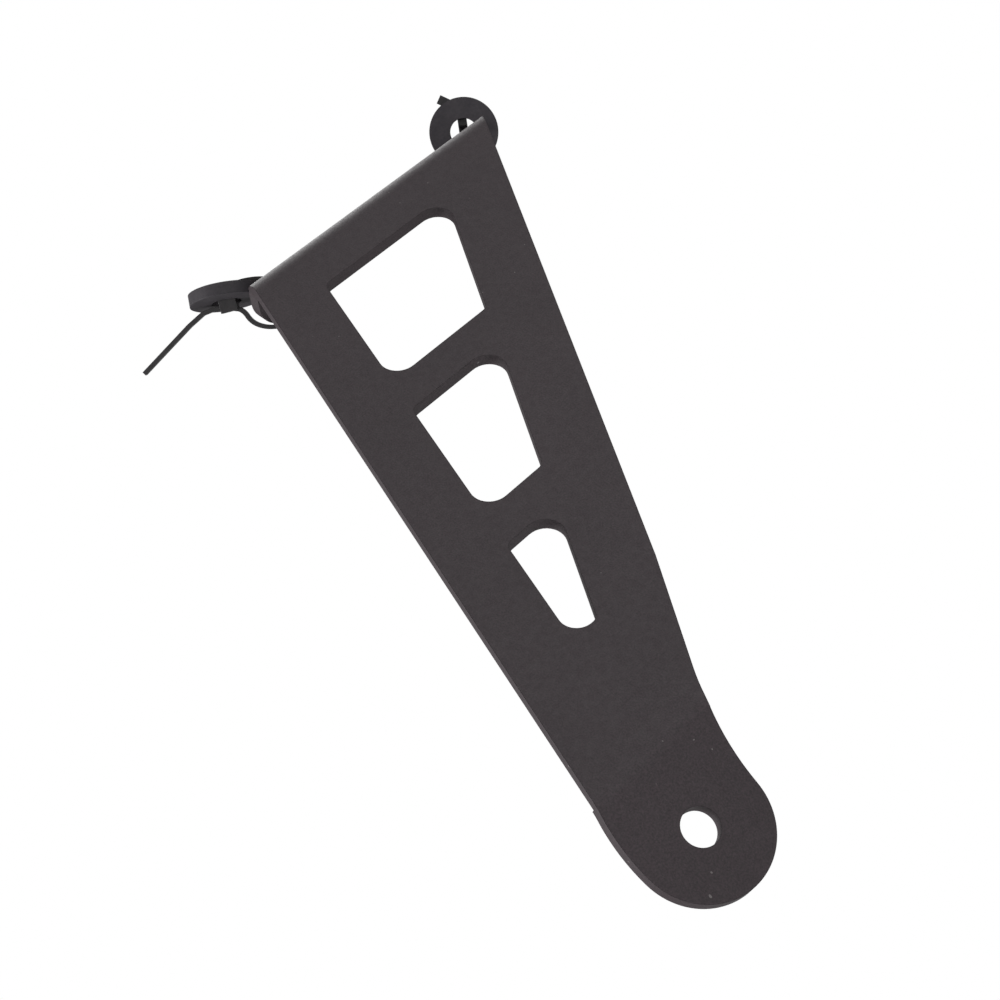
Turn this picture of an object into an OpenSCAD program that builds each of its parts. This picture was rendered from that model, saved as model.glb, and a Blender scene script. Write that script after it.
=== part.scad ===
// Exhaust bracket: one sheet folded into a short top flange and a long tapering
// plate, with three windows and a bent-back lobe that carries the exhaust bolt.
// Two spacer rings are tied to the flange's slots by small cable ties.
// Frame: millimetres, +Z up, +X along the fold, the plate's face towards -Y.
// The origin is midway between the two slots, on the flange's top.

/* [Sheet] */
// Thickness of the sheet
sheet_t = 3.2; // [2.5:0.1:4]
// Inside radius of the fold between the flange and the plate
fold_r = 5; // [3:0.5:6]

/* [Flange] */
// Half width of the bracket along the fold, at the flange's top
flange_half_w = 41.7; // [40:0.5:48]
// Depth of the flange from the plate's face to its rear edge
flange_depth = 20; // [19:0.5:26]
// Radius of the flange's two rear corners
flange_corner_r = 9; // [4:0.5:10]
// Width of each slot
slot_w = 7; // [6:0.5:7.5]
// Length of each slot from end to end
slot_len = 20; // [17:0.5:21]
// Width of the strip left between each slot and the flange's end
slot_strip = 4.2; // [4:0.1:5]
// Distance from the plate's face to the middle of the slots
slot_setback = 12.5; // [12:0.5:15]

/* [Plate] */
// Depth of the bend line of the lobe below the flange's top
bend_drop = 167; // [160:1:190]
// Lean of the left edge away from the vertical, in degrees
left_lean = 18.6; // [16:0.1:20]
// Lean of the right edge away from the vertical, in degrees
right_lean = 32.2; // [30:0.1:33]
// Lean of the right edge below its kink, in degrees
lower_lean = 34.5; // [33:0.1:36]
// Depth of the kink in the right edge below the flange's top
kink_drop = 135; // [125:1:145]

/* [Windows] */
// Width of the strip left beside the left edge, square to that edge
left_margin = 15.5; // [12:0.5:18]
// Width of the strip left beside the right edge, square to that edge
right_margin = 16.5; // [12:0.5:18]
// Depth of the top of the first window below the flange's top
first_window_drop = 18.7; // [16:0.1:22]
// Height of the first window
first_window_h = 36.2; // [30:0.1:38]
// Height of the second window
second_window_h = 34.6; // [30:0.1:38]
// Height of the third window
third_window_h = 28; // [22:0.1:30]
// Width of the two cross bars between the windows
bar_w = 9.6; // [7:0.1:14]
// Radius of the windows' sharp-angled corners
window_corner_r = 4.8; // [3:0.1:8]
// Radius of the windows' wide-angled corners
window_small_r = 2.2; // [1:0.1:4]

/* [Lobe] */
// Angle by which the lobe is bent back, in degrees
lobe_bend = 20; // [10:1:30]
// Inside radius of the lobe's bend
lobe_bend_r = 6; // [4:0.5:12]
// Radius of the round end
lobe_r = 15.4; // [13:0.1:17]
// Depth below the flange's top at which the right edge begins to curve out
neck_drop = 160; // [152:1:164]
// Distance from the bend line to the bolt hole's centre, along the lobe
lobe_reach = 16.9; // [16:0.1:24]
// Distance of the bolt hole's centre from the flange's middle, towards the left
lobe_offset = 85.4; // [83:0.1:88]
// Diameter of the exhaust bolt's hole
hole_d = 8.4; // [6.4:0.1:10.5]

/* [Spacers] */
// Outer diameter of each spacer ring
spacer_d = 18.8; // [17:0.1:19]
// Bore of each spacer ring
spacer_bore = 7.4; // [7:0.1:8.4]
// Thickness of each spacer ring
spacer_t = 3.1; // [2:0.1:3.3]

/* [Cable ties] */
// Width of the tie's strap
strap_w = 2.5; // [2:0.1:3]
// Thickness of the tie's strap
strap_t = 1.1; // [0.8:0.1:1.3]
// Length of the tie's head along the strap
head_l = 4.4; // [4:0.1:5]
// Width of the tie's head
head_w = 4.4; // [4:0.1:5]
// Height of the tie's head
head_h = 3.4; // [3:0.1:3.8]

/* [Hidden] */
$fn = 96;
// A cut runs past the faces that it goes through by this much
past = 1;
// Blocks that are only trimmed by others are this long
long = 400;
fold_outer_r = fold_r + sheet_t;
front_y = -slot_setback;
// Distance between the centres of the two slots
slot_spacing = 2 * (flange_half_w - slot_strip) - slot_len;

// The two spacer rings hang where the ties hold them: centre, tilt from the
// vertical and bearing of the tilt
left_spacer_at = [-flange_half_w - 1.65, -0.65, 8.2];
left_spacer_tilt = 47.7;
left_spacer_bearing = -48.1;
right_spacer_at = [flange_half_w + 1.5, 3, 8.9];
right_spacer_tilt = 54.5;
right_spacer_bearing = 51;

// Each strap goes through its slot this far in from the slot's outer end
left_strap_in = 4.1;
right_strap_in = 3.3;
left_strap_at = [-flange_half_w + slot_strip + left_strap_in, 0, -sheet_t / 2];
right_strap_at = [flange_half_w - slot_strip - right_strap_in, 0, -sheet_t / 2];

// Route of each tie in its own plane, in millimetres from where it passes the
// slot: first along the line to the spacer's bore, then square to it. The tails
// start from the heads
left_loop = [
    [0, 0], [1.4, 3.9], [7.2, 4.3], [12.9, 2.9], [13.6, -0.4], [12.6, -3.2],
    [9.8, -3.4], [7.6, -7], [3.2, -8.4], [-1.6, -7.6], [-2.6, -4]
];
left_tail = [[0.3, -0.9], [4, -1], [6.6, -1.9], [10.2, -4.8], [22.3, -16.4]];
left_tail_turn = [0, 0, 0];
left_head_at = [13.3, -2.2];
left_head_turn = -12;
right_loop = [
    [0, 0], [6, 0], [12, 0], [16.8, 0.4], [20.6, 2.4], [21, -2], [17.4, -6.6],
    [13, -10.8], [5, -11.2], [-1.8, -10.8], [-4.2, -5.4], [-3.4, -0.6]
];
right_tail = [[-1.4, 0], [2, -0.3], [6.6, -0.8]];
right_tail_turn = [0, 57, 63];
right_head_at = [20.9, 3.4];
right_head_turn = 62;
// The plane of the left tie faces along this direction, and that of the right
// tie holds the right spacer's axis
left_tie_facing = [0.384, 0.679, 0.626];

function unit(v) = v / norm(v);
function direction(tilt, bearing) = [sin(tilt) * cos(bearing), sin(tilt) * sin(bearing), cos(tilt)];

// X of the left and right edges at a depth below the flange's top
function left_x(drop) = -flange_half_w - drop * tan(left_lean);
function right_x(drop) =
    drop < kink_drop
        ? flange_half_w - drop * tan(right_lean)
        : flange_half_w - kink_drop * tan(right_lean) - (drop - kink_drop) * tan(lower_lean);

// X of the windows' left and right sides at a depth
function window_left_x(drop) = left_x(drop) + left_margin / cos(left_lean);
function window_right_x(drop) =
    flange_half_w - drop * tan(right_lean) - right_margin / cos(right_lean);

// Points of an arc from angle a to angle b
function arc(centre, r, a, b, steps = 12) =
    [for (i = [0:steps]) centre + r * [cos(a + (b - a) * i / steps), sin(a + (b - a) * i / steps)]];

// One rounded corner at q between the neighbours p and s
function corner(p, q, s, r) =
    let (
        to_p = unit(p - q),
        to_s = unit(s - q),
        half = acos(to_p * to_s) / 2,
        centre = q + unit(to_p + to_s) * r / sin(half),
        start = q + to_p * r / tan(half) - centre,
        end = q + to_s * r / tan(half) - centre,
        a = atan2(start[1], start[0]),
        turn = atan2(end[1], end[0]) - a,
        sweep = turn > 180 ? turn - 360 : turn < -180 ? turn + 360 : turn
    )
    arc(centre, r, a, a + sweep);

// A closed outline with a radius at each corner
function rounded(points, radii) =
    let (n = len(points))
    [for (i = [0:n - 1])
        each radii[i] > 0
            ? corner(points[(i + n - 1) % n], points[i], points[(i + 1) % n], radii[i])
            : [points[i]]];

// Corner cutting makes a closed route smooth
function smooth(points, times = 3) =
    times == 0
        ? points
        : let (n = len(points))
          smooth([for (i = [0:n - 1])
              let (p = points[i], q = points[(i + 1) % n])
              each [p * 0.75 + q * 0.25, p * 0.25 + q * 0.75]], times - 1);

// Unit normal of a route at point i, between its neighbours
function normal(before, after) =
    let (d = unit(after - before)) [-d[1], d[0]];

// One side of a closed route, at a distance from its middle line
function side(points, distance) =
    let (n = len(points))
    [for (i = [0:n - 1])
        points[i] + distance * normal(points[(i + n - 1) % n], points[(i + 1) % n])];

// One side of an open route
function open_side(points, distance) =
    let (last = len(points) - 1)
    [for (i = [0:last])
        points[i] + distance * normal(points[max(i - 1, 0)], points[min(i + 1, last)])];

// Lets a flat outline stand up: its Y becomes Z, and its thickness goes back from y = 0
module upright(depth) {
    translate([0, depth, 0])
        rotate([90, 0, 0])
            linear_extrude(depth) children();
}

// Distance from the bend line to where the flat sheet ends, on either side
bend_outer_r = lobe_bend_r + sheet_t;
bend_setback = bend_outer_r * tan(lobe_bend / 2);
flat_drop = bend_drop - bend_setback;
lobe_start_drop = bend_drop + bend_setback * cos(lobe_bend);
lobe_length = lobe_reach + lobe_r + past;

// Side view of the whole folded sheet, drawn as (Y, Z)
module sheet_profile() {
    fold_centre = [fold_outer_r, -fold_outer_r];
    bend_centre = [bend_outer_r, -flat_drop];
    lobe_along = [sin(lobe_bend), -cos(lobe_bend)];
    lobe_through = [cos(lobe_bend), sin(lobe_bend)];
    lobe_tip = [0, -bend_drop] + lobe_length * lobe_along;
    polygon(concat(
        [[flange_depth, 0]],
        arc(fold_centre, fold_outer_r, 90, 180, 24),
        arc(bend_centre, bend_outer_r, 180, 180 + lobe_bend, 8),
        [lobe_tip, lobe_tip + sheet_t * lobe_through],
        arc(bend_centre, lobe_bend_r, 180 + lobe_bend, 180, 8),
        arc(fold_centre, fold_r, 180, 90, 24),
        [[flange_depth, -sheet_t]]
    ));
}

// The lobe's flat outline: x as on the plate, y down from the bend line as negative
lobe_centre = [-lobe_offset, -lobe_reach];
lobe_left = [left_x(lobe_start_drop), -bend_setback];
// The neck's arc touches the right edge and the round end
neck_start = [right_x(neck_drop), bend_drop - neck_drop];
neck_normal = [cos(lower_lean), -sin(lower_lean)];
neck_gap = neck_start - lobe_centre;
neck_r = (neck_gap * neck_gap - lobe_r * lobe_r) / (2 * (lobe_r - neck_normal * neck_gap));
neck_centre = neck_start + neck_r * neck_normal;
neck_end = unit(neck_centre - lobe_centre);
// A wide arc takes the left edge over into the round end
left_normal = [cos(left_lean), -sin(left_lean)];
left_gap = lobe_left - lobe_centre;
left_arc_r = (left_gap * left_gap - lobe_r * lobe_r) / (2 * (-left_normal * left_gap - lobe_r));
left_arc_centre = lobe_left + left_arc_r * left_normal;
left_end = unit(lobe_centre - left_arc_centre);
left_end_angle = -180 - asin(left_end[1]);

// Angle on the neck's arc at a height above the bend line
function neck_angle(height) = 180 - asin((height - neck_centre[1]) / neck_r);

// Front outline of the plate, down to where the flat lobe starts
module plate_outline() {
    polygon(concat(
        [[left_x(-past), past], [right_x(-past), past], [right_x(kink_drop), -kink_drop]],
        arc(neck_centre - [0, bend_drop], neck_r, 180 - lower_lean,
            neck_angle(bend_drop - lobe_start_drop), 8),
        [[left_x(lobe_start_drop), -lobe_start_drop]]
    ));
}

// Seen from above, the flange's rear corners are round
module top_outline() {
    polygon(rounded(
        [[-long, -past], [long, -past], [long, fold_r], [flange_half_w, fold_r],
         [flange_half_w, flange_depth], [-flange_half_w, flange_depth],
         [-flange_half_w, fold_r], [-long, fold_r]],
        [0, 0, 0, 0, flange_corner_r, flange_corner_r, 0, 0]
    ));
}

module lobe_outline() {
    neck_end_angle = atan2(neck_end[1], neck_end[0]);
    polygon(concat(
        [[left_x(bend_drop), 0]],
        arc(left_arc_centre, left_arc_r, -180 - left_lean, left_end_angle, 16),
        arc(lobe_centre, lobe_r, left_end_angle, neck_end_angle, 48),
        arc(neck_centre, neck_r, neck_end_angle + 180, neck_angle(0), 12)
    ));
}

// Turns what stands upright below the bend line into the lobe's plane
module in_lobe() {
    translate([0, 0, -bend_drop])
        rotate([lobe_bend, 0, 0]) children();
}

// The folded sheet before it is drilled, from the plate's face at y = 0
module sheet() {
    intersection() {
        rotate([90, 0, 90])
            linear_extrude(long, center = true) sheet_profile();
        union() {
            intersection() {
                translate([0, -past, 0])
                    upright(flange_depth + 2 * past) plate_outline();
                translate([0, 0, -long]) linear_extrude(2 * long) top_outline();
            }
            in_lobe()
                translate([0, -past, 0]) upright(sheet_t + 2 * past) lobe_outline();
        }
    }
}

module bolt_hole() {
    in_lobe()
        translate([lobe_centre[0], -past, lobe_centre[1]])
            rotate([-90, 0, 0]) cylinder(d = hole_d, h = sheet_t + 2 * past);
}

// Largest radius, up to the usual one, that a side of this length has room for
// between a wide-angled corner and a sharp-angled one
function fitting_r(length, wide, sharp) =
    min(window_corner_r, (0.96 * length - window_small_r / tan(wide / 2)) * tan(sharp / 2));

// A window between two depths, with all sides parallel to the edges near them
module window(top_drop, height) {
    bottom_drop = top_drop + height;
    top_w = window_right_x(top_drop) - window_left_x(top_drop);
    bottom_w = window_right_x(bottom_drop) - window_left_x(bottom_drop);
    top_r = fitting_r(top_w, 90 + left_lean, 90 - right_lean);
    bottom_r = fitting_r(bottom_w, 90 + right_lean, 90 - left_lean);
    translate([0, -past, 0])
        upright(sheet_t + 2 * past)
            polygon(rounded(
                [[window_left_x(top_drop), -top_drop],
                 [window_right_x(top_drop), -top_drop],
                 [window_right_x(bottom_drop), -bottom_drop],
                 [window_left_x(bottom_drop), -bottom_drop]],
                [window_small_r, top_r, window_small_r, bottom_r]
            ));
}

module windows() {
    second_drop = first_window_drop + first_window_h + bar_w;
    third_drop = second_drop + second_window_h + bar_w;
    window(first_window_drop, first_window_h);
    window(second_drop, second_window_h);
    window(third_drop, third_window_h);
}

// A slot through the flange, centred on the origin's X axis
module slot() {
    straight = slot_len - slot_w;
    translate([0, 0, -sheet_t - past])
        linear_extrude(sheet_t + 2 * past) {
            square([straight, slot_w], center = true);
            for (end = [-1, 1])
                translate([end * straight / 2, 0]) circle(d = slot_w);
        }
}

module bracket() {
    color([0.2, 0.19, 0.2])
        difference() {
            translate([0, front_y, 0])
                difference() {
                    sheet();
                    windows();
                    bolt_hole();
                }
            for (end = [-1, 1])
                translate([end * slot_spacing / 2, 0, 0]) slot();
        }
}

module spacer(at, tilt, bearing) {
    color([0.17, 0.16, 0.17])
        translate(at)
            rotate([0, tilt, bearing])
                difference() {
                    cylinder(d = spacer_d, h = spacer_t, center = true);
                    cylinder(d = spacer_bore, h = spacer_t + 2 * past, center = true);
                }
}

module left_spacer() {
    spacer(left_spacer_at, left_spacer_tilt, left_spacer_bearing);
}

module right_spacer() {
    spacer(right_spacer_at, right_spacer_tilt, right_spacer_bearing);
}

// Puts a flat drawing at a point, with its X along one direction, in the plane
// that faces along another
module in_plane(at, along, facing) {
    x = unit(along);
    z = unit(facing - (facing * x) * x);
    y = cross(z, x);
    multmatrix([
        [x[0], y[0], z[0], at[0]],
        [x[1], y[1], z[1], at[1]],
        [x[2], y[2], z[2], at[2]]
    ])
        children();
}

// A nylon tie, drawn in the plane of its loop
module cable_tie(loop, tail, tail_turn, head_at, head_turn) {
    route = smooth(loop);
    n = len(route);
    color([0.1, 0.1, 0.1]) {
        linear_extrude(strap_w, center = true)
            polygon(
                concat(side(route, strap_t / 2), side(route, -strap_t / 2)),
                [[for (i = [0:n - 1]) i], [for (i = [0:n - 1]) n + i]]
            );
        translate(head_at) {
            rotate(head_turn)
                cube([head_l, head_h, head_w], center = true);
            rotate(tail_turn)
                linear_extrude(strap_w, center = true)
                    polygon(concat(
                        open_side(tail, strap_t / 2),
                        [for (i = [len(tail) - 1:-1:0]) open_side(tail, -strap_t / 2)[i]]
                    ));
        }
    }
}

module left_cable_tie() {
    in_plane(left_strap_at, left_spacer_at - left_strap_at, left_tie_facing)
        cable_tie(left_loop, left_tail, left_tail_turn, left_head_at, left_head_turn);
}

module right_cable_tie() {
    along = right_spacer_at - right_strap_at;
    facing = cross(direction(right_spacer_tilt, right_spacer_bearing), along);
    in_plane(right_strap_at, along, facing)
        cable_tie(right_loop, right_tail, right_tail_turn, right_head_at, right_head_turn);
}

bracket();
left_spacer();
right_spacer();
left_cable_tie();
right_cable_tie();
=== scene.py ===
"""Exhaust bracket with its tied rings: finishes, light and camera. Metres, +Z up."""

import bpy
from mathutils import Matrix, Vector


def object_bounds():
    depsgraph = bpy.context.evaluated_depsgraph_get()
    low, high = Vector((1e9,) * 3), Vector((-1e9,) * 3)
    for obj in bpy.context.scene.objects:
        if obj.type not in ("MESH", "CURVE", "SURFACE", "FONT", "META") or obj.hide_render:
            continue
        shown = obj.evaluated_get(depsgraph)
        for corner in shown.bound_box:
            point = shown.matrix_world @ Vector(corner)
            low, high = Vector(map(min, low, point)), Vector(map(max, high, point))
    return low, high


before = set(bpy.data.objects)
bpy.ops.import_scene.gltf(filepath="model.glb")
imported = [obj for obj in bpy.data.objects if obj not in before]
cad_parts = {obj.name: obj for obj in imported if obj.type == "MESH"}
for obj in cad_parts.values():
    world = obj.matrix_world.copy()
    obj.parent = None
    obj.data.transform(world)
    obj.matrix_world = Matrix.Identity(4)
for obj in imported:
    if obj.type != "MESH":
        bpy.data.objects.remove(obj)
cad_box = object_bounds()

# Where the photograph was taken from, in the part's frame: the camera looks up
# at the plate's face from its lower left
CAMERA_AT = Vector((-0.24051, -0.34799, -0.31277))
CAMERA_RIGHT = Vector((0.6886, 0.0762, -0.7211))
CAMERA_UP = Vector((0.5876, -0.6414, 0.4933))
CAMERA_LENS_MM = 72.0
SENSOR_MM = 36.0
NEAREST_SEEN = 0.01
FARTHEST_SEEN = 20

# Soft boxes: name, direction as the photograph's viewer sees it (right, up,
# towards), distance from the part's middle, side, watts
LIGHTS = (
    ("rim", (-0.50, 0.60, -0.80), 0.9, 0.5, 3.6),
    ("side", (-0.90, -0.42, 0.15), 0.9, 0.3, 8.0),
    ("front", (-0.10, 0.90, 0.35), 1.2, 1.0, 4.2),
    ("face", (0.14, 0.69, 0.70), 1.2, 0.8, 2.0),
)

# The surroundings are white to look at, and dimmer as a light on the part
WHITE = (1, 1, 1, 1)
BACKGROUND_STRENGTH = 1.0
FILL_STRENGTH = 0.33

# The floor lies well under the hanging part
FLOOR_Z = -0.36
FLOOR_SIZE = 16.0
FLOOR_ROUGHNESS = 0.9

# Noise values mostly lie in this range, so the ramps run across it
NOISE_LOW = 0.3
NOISE_HIGH = 0.7
GRAIN_ROUGHNESS = 0.6

# Only the rare peaks above these values show as specks in the coat
SPECK_START = 0.865
SPECK_FULL = 0.885
SPECK_COVER = 0.5
SPECK_COLOUR = (0.22, 0.20, 0.20)

COAT_SPECULAR = 0.5
SPACER_SPECULAR = 0.4

# Relief of the surfaces, and the rounding of their edges
RELIEF_DEPTH = 0.00005
EDGE_RADIUS = 0.0004
TIE_EDGE_RADIUS = 0.0002
EDGE_SAMPLES = 6


def camera_matrix():
    """Camera to world, from the two directions that were solved."""
    right = CAMERA_RIGHT.normalized()
    up = (CAMERA_UP - CAMERA_UP.dot(right) * right).normalized()
    back = right.cross(up)
    matrix = Matrix((right, up, back)).transposed().to_4x4()
    matrix.translation = CAMERA_AT
    return matrix


def from_camera(right, up, towards):
    """A direction given as the photograph's viewer sees it."""
    axes = camera_matrix().to_3x3()
    return (axes @ Vector((right, up, towards))).normalized()


def add_camera():
    """The photograph's viewpoint."""
    data = bpy.data.cameras.new("camera")
    data.lens = CAMERA_LENS_MM
    data.sensor_width = SENSOR_MM
    data.clip_start = NEAREST_SEEN
    data.clip_end = FARTHEST_SEEN
    camera = bpy.data.objects.new("camera", data)
    camera.matrix_world = camera_matrix()
    bpy.context.scene.collection.objects.link(camera)
    bpy.context.scene.camera = camera


def add_area_light(name, direction, distance, size, watts):
    """A square soft box that looks at the middle of the part."""
    middle = (Vector(cad_box[0]) + Vector(cad_box[1])) / 2
    data = bpy.data.lights.new(name, "AREA")
    data.shape = "SQUARE"
    data.size = size
    data.energy = watts
    lamp = bpy.data.objects.new(name, data)
    lamp.location = middle + direction * distance
    lamp.rotation_euler = direction.to_track_quat("Z", "Y").to_euler()
    bpy.context.scene.collection.objects.link(lamp)


def background(tree, strength):
    """An even white light of the given strength."""
    node = tree.nodes.new("ShaderNodeBackground")
    node.inputs["Color"].default_value = WHITE
    node.inputs["Strength"].default_value = strength
    return node.outputs[0]


def add_world():
    """White where it is seen, directly or through something clear. What it
    casts on the part, reflections included, is a softer fill."""
    world = bpy.data.worlds.new("studio")
    bpy.context.scene.world = world
    world.use_nodes = True
    tree = world.node_tree
    tree.nodes.clear()
    path = tree.nodes.new("ShaderNodeLightPath")
    seen = tree.nodes.new("ShaderNodeMath")
    seen.operation = "MAXIMUM"
    tree.links.new(path.outputs["Is Camera Ray"], seen.inputs[0])
    tree.links.new(path.outputs["Is Transmission Ray"], seen.inputs[1])
    mix = tree.nodes.new("ShaderNodeMixShader")
    tree.links.new(seen.outputs[0], mix.inputs["Fac"])
    tree.links.new(background(tree, FILL_STRENGTH), mix.inputs[1])
    tree.links.new(background(tree, BACKGROUND_STRENGTH), mix.inputs[2])
    output = tree.nodes.new("ShaderNodeOutputWorld")
    tree.links.new(mix.outputs[0], output.inputs["Surface"])


def new_material(name):
    """An empty surface: the material, its node tree and its shader."""
    material = bpy.data.materials.new(name)
    material.use_nodes = True
    tree = material.node_tree
    shader = tree.nodes["Principled BSDF"]
    return material, tree, shader


def grey(level):
    """A neutral colour."""
    return (level, level, level)


def object_noise(tree, scale, detail=2.0, roughness=0.5):
    """Noise in the part's own metres; scale is in features per metre."""
    place = tree.nodes.new("ShaderNodeTexCoord")
    noise = tree.nodes.new("ShaderNodeTexNoise")
    noise.inputs["Scale"].default_value = scale
    noise.inputs["Detail"].default_value = detail
    noise.inputs["Roughness"].default_value = roughness
    tree.links.new(place.outputs["Object"], noise.inputs["Vector"])
    return noise.outputs["Fac"]


def ramp(tree, source, low, high, start=NOISE_LOW, end=NOISE_HIGH):
    """A colour that runs from low to high while the source goes from start to end."""
    node = tree.nodes.new("ShaderNodeValToRGB")
    stops = ((start, low), (end, high))
    for element, (position, colour) in zip(node.color_ramp.elements, stops):
        element.position = position
        element.color = (*colour, 1)
    tree.links.new(source, node.inputs["Fac"])
    return node.outputs["Color"]


def mixed(tree, factor, first, second, blend_type="MIX"):
    """Two colours blended; each value is a number, a colour or a node's output."""
    node = tree.nodes.new("ShaderNodeMix")
    node.data_type = "RGBA"
    node.blend_type = blend_type
    for name, value in (("Factor", factor), ("A", first), ("B", second)):
        socket = node.inputs[name]
        if isinstance(value, float):
            socket.default_value = value
        elif isinstance(value, tuple):
            socket.default_value = (*value, 1)
        else:
            tree.links.new(value, socket)
    return node.outputs["Result"]


def relief(tree, shader, height, strength, edge_radius):
    """Fine relief on the surface, over edges that look slightly rounded."""
    bevel = tree.nodes.new("ShaderNodeBevel")
    bevel.samples = EDGE_SAMPLES
    bevel.inputs["Radius"].default_value = edge_radius
    bump = tree.nodes.new("ShaderNodeBump")
    bump.inputs["Strength"].default_value = strength
    bump.inputs["Distance"].default_value = RELIEF_DEPTH
    tree.links.new(height, bump.inputs["Height"])
    tree.links.new(bevel.outputs["Normal"], bump.inputs["Normal"])
    tree.links.new(bump.outputs["Normal"], shader.inputs["Normal"])


def coated_sheet():
    """Black satin coat with a fine grain, faint clouds and rare pale specks."""
    material, tree, shader = new_material("coated_sheet")
    clouds = ramp(tree, object_noise(tree, 40, detail=3),
                  (0.0225, 0.0143, 0.0176), (0.0270, 0.0177, 0.0214))
    grain = ramp(tree, object_noise(tree, 2400, roughness=GRAIN_ROUGHNESS),
                 grey(0.55), (1.45, 1.42, 1.45))
    colour = mixed(tree, 1.0, clouds, grain, "MULTIPLY")
    specks = ramp(tree, object_noise(tree, 800, detail=0),
                  grey(0), grey(SPECK_COVER), SPECK_START, SPECK_FULL)
    colour = mixed(tree, specks, colour, SPECK_COLOUR)
    tree.links.new(colour, shader.inputs["Base Color"])
    gloss = ramp(tree, object_noise(tree, 700), grey(0.56), grey(0.64))
    tree.links.new(gloss, shader.inputs["Roughness"])
    shader.inputs["Specular IOR Level"].default_value = COAT_SPECULAR
    height = object_noise(tree, 2600, roughness=GRAIN_ROUGHNESS)
    relief(tree, shader, height, 0.3, EDGE_RADIUS)
    return material


def spacer_plastic():
    """Matte black moulded ring with a slight mottle."""
    material, tree, shader = new_material("spacer_plastic")
    clouds = ramp(tree, object_noise(tree, 260, detail=3),
                  (0.022, 0.019, 0.023), (0.031, 0.027, 0.031))
    grain = ramp(tree, object_noise(tree, 1300), (0.86, 0.86, 0.88), (1.14, 1.12, 1.14))
    colour = mixed(tree, 1.0, clouds, grain, "MULTIPLY")
    tree.links.new(colour, shader.inputs["Base Color"])
    gloss = ramp(tree, object_noise(tree, 500), grey(0.58), grey(0.70))
    tree.links.new(gloss, shader.inputs["Roughness"])
    shader.inputs["Specular IOR Level"].default_value = SPACER_SPECULAR
    relief(tree, shader, object_noise(tree, 1800), 0.3, EDGE_RADIUS)
    return material


def tie_nylon():
    """Black nylon: smooth, slightly glossy, with a fine moulded ripple."""
    material, tree, shader = new_material("tie_nylon")
    shade = ramp(tree, object_noise(tree, 350),
                 (0.010, 0.009, 0.010), (0.021, 0.018, 0.020))
    tree.links.new(shade, shader.inputs["Base Color"])
    gloss = ramp(tree, object_noise(tree, 600), grey(0.34), grey(0.48))
    tree.links.new(gloss, shader.inputs["Roughness"])
    relief(tree, shader, object_noise(tree, 1400), 0.25, TIE_EDGE_RADIUS)
    return material


def floor_material():
    """Pale matte floor, very slightly uneven in tone."""
    material, tree, shader = new_material("pale_floor")
    tint = ramp(tree, object_noise(tree, 6), grey(0.74), grey(0.78))
    tree.links.new(tint, shader.inputs["Base Color"])
    shader.inputs["Roughness"].default_value = FLOOR_ROUGHNESS
    return material


def add_floor():
    """A plain square floor around the part's axis."""
    half = FLOOR_SIZE / 2
    sides = ((-1, -1), (1, -1), (1, 1), (-1, 1))
    corners = [(half * x, half * y, FLOOR_Z) for x, y in sides]
    mesh = bpy.data.meshes.new("floor")
    mesh.from_pydata(corners, [], [(0, 1, 2, 3)])
    mesh.materials.append(floor_material())
    floor = bpy.data.objects.new("floor", mesh)
    bpy.context.scene.collection.objects.link(floor)


def dress(node_name, material):
    """Give a piece its finish, in every slot it has."""
    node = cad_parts[node_name]
    if not node.material_slots:
        node.data.materials.append(material)
    for slot in node.material_slots:
        slot.material = material


add_camera()
add_world()
add_floor()
for name, direction, distance, size, watts in LIGHTS:
    add_area_light(name, from_camera(*direction), distance, size, watts)

finishes = {
    "bracket": coated_sheet(),
    "left_spacer": spacer_plastic(),
    "right_spacer": spacer_plastic(),
    "left_cable_tie": tie_nylon(),
    "right_cable_tie": tie_nylon(),
}
for node_name, finish in finishes.items():
    dress(node_name, finish)

bpy.context.scene.view_settings.view_transform = "Standard"
